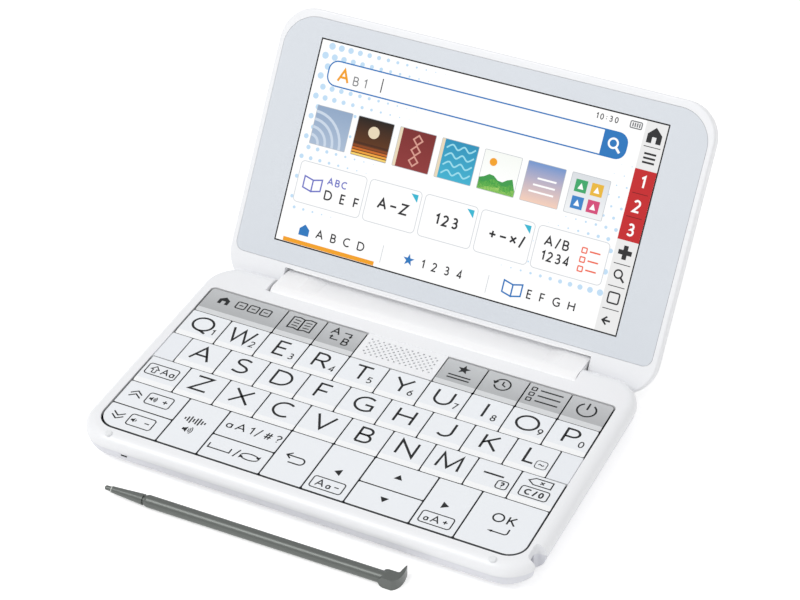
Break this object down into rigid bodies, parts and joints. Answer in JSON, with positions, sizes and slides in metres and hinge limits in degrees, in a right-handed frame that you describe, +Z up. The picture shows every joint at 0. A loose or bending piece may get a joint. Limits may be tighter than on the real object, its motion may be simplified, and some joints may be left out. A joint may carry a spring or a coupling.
{
  "type": "electronic dictionary",
  "caption": "Pocket electronic dictionary: keyboard half with separate keys, display half on a two-axis link hinge that folds right round, and a loose pen",
  "frame": {"origin": "centre of the whole open object's footprint, on the surface it stands on", "axes": "+Z up, +X to the user's right, the user sits at -Y, the display half stands at +Y"},
  "size_m": [0.1518, 0.1644, 0.0815],
  "materials": {
    "case_white": "fine satin white",
    "key_white": "smooth white",
    "key_grey": "metallic grey paint",
    "steel": "plain",
    "rubber": "matt",
    "silicone": "matt",
    "board": "solder mask",
    "battery_wrap": "film",
    "panel_grey": "flush face panel",
    "display_glass": "lit picture",
    "pen_grey": "satin"
  },
  "bodies": {
    "base": {"lower_case": "case_white", "upper_case": "case_white", "screws": "steel", "rubber_feet": "rubber", "main_board": "board", "battery": "battery_wrap", "key_mat": "silicone"},
    "link": {"hinge_link": "case_white", "hinge_pins": "steel"},
    "lid": {"lid_shell": "case_white", "screen_panel": "panel_grey", "lcd_module": "display_glass"},
    "pen": {"stylus": "pen_grey"},
    "a_key": {"key_a": "key_white"},
    "b_key": {"key_b": "key_white"},
    "back_key": {"key_back": "key_white"},
    "c_key": {"key_c": "key_white"},
    "d_key": {"key_d": "key_white"},
    "dash_key": {"key_dash": "key_white"},
    "delete_key": {"key_delete": "key_white"},
    "down_key": {"key_down": "key_white"},
    "e_key": {"key_e": "key_white"},
    "enter_key": {"key_enter": "key_white"},
    "f_key": {"key_f": "key_white"},
    "function_1_key": {"key_function_1": "key_grey"},
    "function_2_key": {"key_function_2": "key_grey"},
    "function_3_key": {"key_function_3": "key_grey"},
    "function_4_key": {"key_function_4": "key_grey"},
    "function_5_key": {"key_function_5": "key_grey"},
    "g_key": {"key_g": "key_white"},
    "h_key": {"key_h": "key_white"},
    "home_key": {"key_home": "key_grey"},
    "i_key": {"key_i": "key_white"},
    "j_key": {"key_j": "key_white"},
    "k_key": {"key_k": "key_white"},
    "l_key": {"key_l": "key_white"},
    "left_key": {"key_left": "key_white"},
    "m_key": {"key_m": "key_white"},
    "n_key": {"key_n": "key_white"},
    "o_key": {"key_o": "key_white"},
    "p_key": {"key_p": "key_white"},
    "page_down_key": {"key_page_down": "key_white"},
    "page_up_key": {"key_page_up": "key_white"},
    "power_key": {"key_power": "key_grey"},
    "q_key": {"key_q": "key_white"},
    "r_key": {"key_r": "key_white"},
    "right_key": {"key_right": "key_white"},
    "s_key": {"key_s": "key_white"},
    "shift_key": {"key_shift": "key_white"},
    "space_key": {"key_space": "key_white"},
    "t_key": {"key_t": "key_white"},
    "text_mode_key": {"key_text_mode": "key_white"},
    "u_key": {"key_u": "key_white"},
    "up_key": {"key_up": "key_white"},
    "v_key": {"key_v": "key_white"},
    "voice_key": {"key_voice": "key_white"},
    "w_key": {"key_w": "key_white"},
    "x_key": {"key_x": "key_white"},
    "y_key": {"key_y": "key_white"},
    "z_key": {"key_z": "key_white"}
  },
  "joints": [
    {"name": "link_fold", "type": "hinge", "parent": "base", "child": "link", "pos_m": [0, 0.02038, 0.0059], "axis": [1, 0, 0], "range_deg": [-82, 98]},
    {"name": "lid_fold", "type": "hinge", "parent": "link", "child": "lid", "pos_m": [0, 0.02998, 0.00455], "axis": [1, 0, 0], "range_deg": [-154.1, 25.9]},
    {"name": "pen_lift", "type": "slide", "parent": "base", "child": "pen", "axis": [0, 0, 1], "range_m": [0, 0.1]},
    {"name": "a_press", "type": "slide", "parent": "base", "child": "a_key", "axis": [0, 0, -1], "range_m": [0, 0.0008], "stiffness_N_per_m": 250},
    {"name": "b_press", "type": "slide", "parent": "base", "child": "b_key", "axis": [0, 0, -1], "range_m": [0, 0.0008], "stiffness_N_per_m": 250},
    {"name": "back_press", "type": "slide", "parent": "base", "child": "back_key", "axis": [0, 0, -1], "range_m": [0, 0.0008], "stiffness_N_per_m": 250},
    {"name": "c_press", "type": "slide", "parent": "base", "child": "c_key", "axis": [0, 0, -1], "range_m": [0, 0.0008], "stiffness_N_per_m": 250},
    {"name": "d_press", "type": "slide", "parent": "base", "child": "d_key", "axis": [0, 0, -1], "range_m": [0, 0.0008], "stiffness_N_per_m": 250},
    {"name": "dash_press", "type": "slide", "parent": "base", "child": "dash_key", "axis": [0, 0, -1], "range_m": [0, 0.0008], "stiffness_N_per_m": 250},
    {"name": "delete_press", "type": "slide", "parent": "base", "child": "delete_key", "axis": [0, 0, -1], "range_m": [0, 0.0008], "stiffness_N_per_m": 250},
    {"name": "down_press", "type": "slide", "parent": "base", "child": "down_key", "axis": [0, 0, -1], "range_m": [0, 0.0008], "stiffness_N_per_m": 250},
    {"name": "e_press", "type": "slide", "parent": "base", "child": "e_key", "axis": [0, 0, -1], "range_m": [0, 0.0008], "stiffness_N_per_m": 250},
    {"name": "enter_press", "type": "slide", "parent": "base", "child": "enter_key", "axis": [0, 0, -1], "range_m": [0, 0.0008], "stiffness_N_per_m": 250},
    {"name": "f_press", "type": "slide", "parent": "base", "child": "f_key", "axis": [0, 0, -1], "range_m": [0, 0.0008], "stiffness_N_per_m": 250},
    {"name": "function_1_press", "type": "slide", "parent": "base", "child": "function_1_key", "axis": [0, 0, -1], "range_m": [0, 0.0008], "stiffness_N_per_m": 250},
    {"name": "function_2_press", "type": "slide", "parent": "base", "child": "function_2_key", "axis": [0, 0, -1], "range_m": [0, 0.0008], "stiffness_N_per_m": 250},
    {"name": "function_3_press", "type": "slide", "parent": "base", "child": "function_3_key", "axis": [0, 0, -1], "range_m": [0, 0.0008], "stiffness_N_per_m": 250},
    {"name": "function_4_press", "type": "slide", "parent": "base", "child": "function_4_key", "axis": [0, 0, -1], "range_m": [0, 0.0008], "stiffness_N_per_m": 250},
    {"name": "function_5_press", "type": "slide", "parent": "base", "child": "function_5_key", "axis": [0, 0, -1], "range_m": [0, 0.0008], "stiffness_N_per_m": 250},
    {"name": "g_press", "type": "slide", "parent": "base", "child": "g_key", "axis": [0, 0, -1], "range_m": [0, 0.0008], "stiffness_N_per_m": 250},
    {"name": "h_press", "type": "slide", "parent": "base", "child": "h_key", "axis": [0, 0, -1], "range_m": [0, 0.0008], "stiffness_N_per_m": 250},
    {"name": "home_press", "type": "slide", "parent": "base", "child": "home_key", "axis": [0, 0, -1], "range_m": [0, 0.0008], "stiffness_N_per_m": 250},
    {"name": "i_press", "type": "slide", "parent": "base", "child": "i_key", "axis": [0, 0, -1], "range_m": [0, 0.0008], "stiffness_N_per_m": 250},
    {"name": "j_press", "type": "slide", "parent": "base", "child": "j_key", "axis": [0, 0, -1], "range_m": [0, 0.0008], "stiffness_N_per_m": 250},
    {"name": "k_press", "type": "slide", "parent": "base", "child": "k_key", "axis": [0, 0, -1], "range_m": [0, 0.0008], "stiffness_N_per_m": 250},
    {"name": "l_press", "type": "slide", "parent": "base", "child": "l_key", "axis": [0, 0, -1], "range_m": [0, 0.0008], "stiffness_N_per_m": 250},
    {"name": "left_press", "type": "slide", "parent": "base", "child": "left_key", "axis": [0, 0, -1], "range_m": [0, 0.0008], "stiffness_N_per_m": 250},
    {"name": "m_press", "type": "slide", "parent": "base", "child": "m_key", "axis": [0, 0, -1], "range_m": [0, 0.0008], "stiffness_N_per_m": 250},
    {"name": "n_press", "type": "slide", "parent": "base", "child": "n_key", "axis": [0, 0, -1], "range_m": [0, 0.0008], "stiffness_N_per_m": 250},
    {"name": "o_press", "type": "slide", "parent": "base", "child": "o_key", "axis": [0, 0, -1], "range_m": [0, 0.0008], "stiffness_N_per_m": 250},
    {"name": "p_press", "type": "slide", "parent": "base", "child": "p_key", "axis": [0, 0, -1], "range_m": [0, 0.0008], "stiffness_N_per_m": 250},
    {"name": "page_down_press", "type": "slide", "parent": "base", "child": "page_down_key", "axis": [0, 0, -1], "range_m": [0, 0.0008], "stiffness_N_per_m": 250},
    {"name": "page_up_press", "type": "slide", "parent": "base", "child": "page_up_key", "axis": [0, 0, -1], "range_m": [0, 0.0008], "stiffness_N_per_m": 250},
    {"name": "power_press", "type": "slide", "parent": "base", "child": "power_key", "axis": [0, 0, -1], "range_m": [0, 0.0008], "stiffness_N_per_m": 250},
    {"name": "q_press", "type": "slide", "parent": "base", "child": "q_key", "axis": [0, 0, -1], "range_m": [0, 0.0008], "stiffness_N_per_m": 250},
    {"name": "r_press", "type": "slide", "parent": "base", "child": "r_key", "axis": [0, 0, -1], "range_m": [0, 0.0008], "stiffness_N_per_m": 250},
    {"name": "right_press", "type": "slide", "parent": "base", "child": "right_key", "axis": [0, 0, -1], "range_m": [0, 0.0008], "stiffness_N_per_m": 250},
    {"name": "s_press", "type": "slide", "parent": "base", "child": "s_key", "axis": [0, 0, -1], "range_m": [0, 0.0008], "stiffness_N_per_m": 250},
    {"name": "shift_press", "type": "slide", "parent": "base", "child": "shift_key", "axis": [0, 0, -1], "range_m": [0, 0.0008], "stiffness_N_per_m": 250},
    {"name": "space_press", "type": "slide", "parent": "base", "child": "space_key", "axis": [0, 0, -1], "range_m": [0, 0.0008], "stiffness_N_per_m": 250},
    {"name": "t_press", "type": "slide", "parent": "base", "child": "t_key", "axis": [0, 0, -1], "range_m": [0, 0.0008], "stiffness_N_per_m": 250},
    {"name": "text_mode_press", "type": "slide", "parent": "base", "child": "text_mode_key", "axis": [0, 0, -1], "range_m": [0, 0.0008], "stiffness_N_per_m": 250},
    {"name": "u_press", "type": "slide", "parent": "base", "child": "u_key", "axis": [0, 0, -1], "range_m": [0, 0.0008], "stiffness_N_per_m": 250},
    {"name": "up_press", "type": "slide", "parent": "base", "child": "up_key", "axis": [0, 0, -1], "range_m": [0, 0.0008], "stiffness_N_per_m": 250},
    {"name": "v_press", "type": "slide", "parent": "base", "child": "v_key", "axis": [0, 0, -1], "range_m": [0, 0.0008], "stiffness_N_per_m": 250},
    {"name": "voice_press", "type": "slide", "parent": "base", "child": "voice_key", "axis": [0, 0, -1], "range_m": [0, 0.0008], "stiffness_N_per_m": 250},
    {"name": "w_press", "type": "slide", "parent": "base", "child": "w_key", "axis": [0, 0, -1], "range_m": [0, 0.0008], "stiffness_N_per_m": 250},
    {"name": "x_press", "type": "slide", "parent": "base", "child": "x_key", "axis": [0, 0, -1], "range_m": [0, 0.0008], "stiffness_N_per_m": 250},
    {"name": "y_press", "type": "slide", "parent": "base", "child": "y_key", "axis": [0, 0, -1], "range_m": [0, 0.0008], "stiffness_N_per_m": 250},
    {"name": "z_press", "type": "slide", "parent": "base", "child": "z_key", "axis": [0, 0, -1], "range_m": [0, 0.0008], "stiffness_N_per_m": 250}
  ]
}
